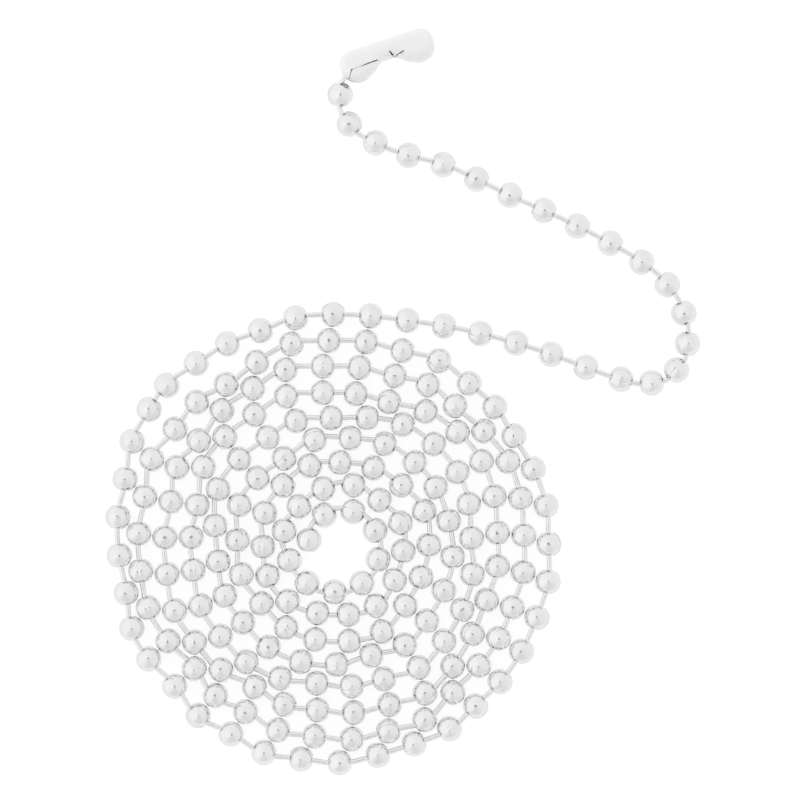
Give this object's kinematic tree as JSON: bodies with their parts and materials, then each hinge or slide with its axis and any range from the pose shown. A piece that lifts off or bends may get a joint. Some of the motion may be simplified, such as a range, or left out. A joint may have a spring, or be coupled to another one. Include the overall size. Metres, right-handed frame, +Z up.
{
  "type": "roller blind chain",
  "caption": "Metal ball chain for a roller blind, laid out in a flat coil with a free end that carries a folded sheet metal connector.",
  "frame": {"origin": "middle of the laid chain's bounding box, on the surface it lies on", "axes": "+Z up from the surface, +Y from the coil towards the connector, +X to the right as in the picture"},
  "size_m": [0.1042, 0.1306, 0.0057],
  "materials": {
    "balls": "bright nickel plate",
    "links": "bright drawn wire",
    "connector": "plated sheet, satin"
  },
  "bodies": {
    "root": {"chain_run_01": "balls", "chain_run_02": "balls", "chain_run_03": "balls", "chain_run_04": "balls", "chain_run_05": "balls", "chain_run_06": "balls", "chain_run_07": "balls", "chain_run_08": "balls", "chain_run_09": "balls", "chain_run_10": "balls", "chain_run_11": "balls", "chain_run_12": "balls", "chain_run_13": "balls", "chain_run_14": "balls", "chain_run_15": "balls", "chain_run_16": "balls", "chain_run_17": "balls", "chain_run_18": "balls", "chain_run_19": "balls", "chain_run_20": "balls", "chain_run_21": "balls", "chain_run_22": "balls", "chain_run_23": "balls", "chain_run_24": "balls", "chain_run_25": "balls", "chain_run_26": "balls", "chain_run_27": "balls", "chain_run_28": "balls", "chain_run_29": "balls", "chain_run_30": "balls", "chain_run_31": "balls", "chain_run_32": "balls", "chain_run_33": "balls", "chain_run_34": "balls"},
    "ball_01": {"ball_01": "balls"},
    "ball_02": {"ball_02": "balls"},
    "ball_03": {"ball_03": "balls"},
    "ball_04": {"ball_04": "balls"},
    "ball_05": {"ball_05": "balls"},
    "ball_06": {"ball_06": "balls"},
    "ball_07": {"ball_07": "balls"},
    "ball_08": {"ball_08": "balls"},
    "ball_09": {"ball_09": "balls"},
    "ball_10": {"ball_10": "balls"},
    "ball_11": {"ball_11": "balls"},
    "ball_12": {"ball_12": "balls"},
    "ball_13": {"ball_13": "balls"},
    "connector": {"connector": "connector"},
    "link_01": {"link_01": "links"},
    "link_02": {"link_02": "links"},
    "link_03": {"link_03": "links"},
    "link_04": {"link_04": "links"},
    "link_05": {"link_05": "links"},
    "link_06": {"link_06": "links"},
    "link_07": {"link_07": "links"},
    "link_08": {"link_08": "links"},
    "link_09": {"link_09": "links"},
    "link_10": {"link_10": "links"},
    "link_11": {"link_11": "links"},
    "link_12": {"link_12": "links"}
  },
  "joints": [
    {"name": "ball_13_turn", "type": "hinge", "parent": "root", "child": "ball_13", "pos_m": [0.04762, 0.01905, 0.00225], "axis": [0, 0, 1], "range_deg": [-37, 17]},
    {"name": "link_12_tilt", "type": "hinge", "parent": "ball_13", "child": "link_12", "pos_m": [0.04502, 0.02211, 0.00225], "axis": [-0.6367, -0.7711, 0], "range_deg": [-25, 25]},
    {"name": "ball_12_turn", "type": "hinge", "parent": "link_12", "child": "ball_12", "pos_m": [0.04347, 0.02339, 0.00225], "axis": [0, 0, -1], "range_deg": [-22, 32]},
    {"name": "link_11_tilt", "type": "hinge", "parent": "ball_12", "child": "link_11", "pos_m": [0.04017, 0.02568, 0.00225], "axis": [0.4985, 0.8669, 0], "range_deg": [-27, 27]},
    {"name": "ball_11_turn", "type": "hinge", "parent": "link_11", "child": "ball_11", "pos_m": [0.03807, 0.02688, 0.00225], "axis": [0, 0, 1], "range_deg": [-28, 26]},
    {"name": "link_10_tilt", "type": "hinge", "parent": "ball_11", "child": "link_10", "pos_m": [0.03455, 0.02881, 0.00225], "axis": [-0.4629, -0.8864, 0], "range_deg": [-27, 27]},
    {"name": "ball_10_turn", "type": "hinge", "parent": "link_10", "child": "ball_10", "pos_m": [0.03236, 0.02996, 0.00225], "axis": [0, 0, -1], "range_deg": [-26, 28]},
    {"name": "link_09_tilt", "type": "hinge", "parent": "ball_10", "child": "link_09", "pos_m": [0.02876, 0.03172, 0.00225], "axis": [0.4173, 0.9088, 0], "range_deg": [-27, 27]},
    {"name": "ball_09_turn", "type": "hinge", "parent": "link_09", "child": "ball_09", "pos_m": [0.02651, 0.03276, 0.00225], "axis": [0, 0, 1], "range_deg": [-28, 26]},
    {"name": "link_08_tilt", "type": "hinge", "parent": "ball_09", "child": "link_08", "pos_m": [0.02285, 0.0344, 0.00225], "axis": [-0.4004, -0.9164, 0], "range_deg": [-27, 27]},
    {"name": "ball_08_turn", "type": "hinge", "parent": "link_08", "child": "ball_08", "pos_m": [0.02058, 0.03539, 0.00225], "axis": [0, 0, -1], "range_deg": [-28, 26]},
    {"name": "link_07_tilt", "type": "hinge", "parent": "ball_08", "child": "link_07", "pos_m": [0.01695, 0.03708, 0.00225], "axis": [0.4445, 0.8958, 0], "range_deg": [-27, 27]},
    {"name": "ball_07_turn", "type": "hinge", "parent": "link_07", "child": "ball_07", "pos_m": [0.01473, 0.03818, 0.00225], "axis": [0, 0, 1], "range_deg": [-28, 26]},
    {"name": "link_06_tilt", "type": "hinge", "parent": "ball_07", "child": "link_06", "pos_m": [0.01112, 0.03993, 0.00225], "axis": [-0.4268, -0.9044, 0], "range_deg": [-27, 27]},
    {"name": "ball_06_turn", "type": "hinge", "parent": "link_06", "child": "ball_06", "pos_m": [0.00896, 0.04095, 0.00225], "axis": [0, 0, -1], "range_deg": [-20, 34]},
    {"name": "link_05_tilt", "type": "hinge", "parent": "ball_06", "child": "link_05", "pos_m": [0.00515, 0.04222, 0.00225], "axis": [0.2022, 0.9793, 0], "range_deg": [-26, 26]},
    {"name": "ball_05_turn", "type": "hinge", "parent": "link_05", "child": "ball_05", "pos_m": [0.00293, 0.04268, 0.00225], "axis": [0, 0, 1], "range_deg": [-23, 31]},
    {"name": "link_04_tilt", "type": "hinge", "parent": "ball_05", "child": "link_04", "pos_m": [-0.00093, 0.04379, 0.00225], "axis": [-0.3482, -0.9374, 0], "range_deg": [-27, 27]},
    {"name": "ball_04_turn", "type": "hinge", "parent": "link_04", "child": "ball_04", "pos_m": [-0.00298, 0.04455, 0.00224], "axis": [0, 0, -1], "range_deg": [-32, 22]},
    {"name": "link_03_tilt", "type": "hinge", "parent": "ball_04", "child": "link_03", "pos_m": [-0.0066, 0.04627, 0.00226], "axis": [0.5044, 0.8635, 0], "range_deg": [-27, 26]},
    {"name": "ball_03_turn", "type": "hinge", "parent": "link_03", "child": "ball_03", "pos_m": [-0.0081, 0.04714, 0.00227], "axis": [0, 0, 1], "range_deg": [-6, 48]},
    {"name": "link_02_tilt", "type": "hinge", "parent": "ball_03", "child": "link_02", "pos_m": [-0.01063, 0.05025, 0.00223], "axis": [-0.9476, -0.3195, 0], "range_deg": [-19, 17]},
    {"name": "ball_02_turn", "type": "hinge", "parent": "link_02", "child": "ball_02", "pos_m": [-0.01117, 0.05186, 0.00217], "axis": [0, 0, -1], "range_deg": [-52, 2]},
    {"name": "link_01_tilt", "type": "hinge", "parent": "ball_02", "child": "link_01", "pos_m": [-0.01074, 0.05584, 0.00233], "axis": [0.8547, -0.5191, 0], "range_deg": [-14, 7]},
    {"name": "ball_01_turn", "type": "hinge", "parent": "link_01", "child": "ball_01", "pos_m": [-0.00964, 0.05765, 0.00255], "axis": [0, 0, 1], "range_deg": [-2, 52]},
    {"name": "connector_swing", "type": "hinge", "parent": "ball_01", "child": "connector", "pos_m": [-0.00798, 0.05875, 0.00285], "axis": [0, 0, -1], "range_deg": [-30, 25]}
  ]
}
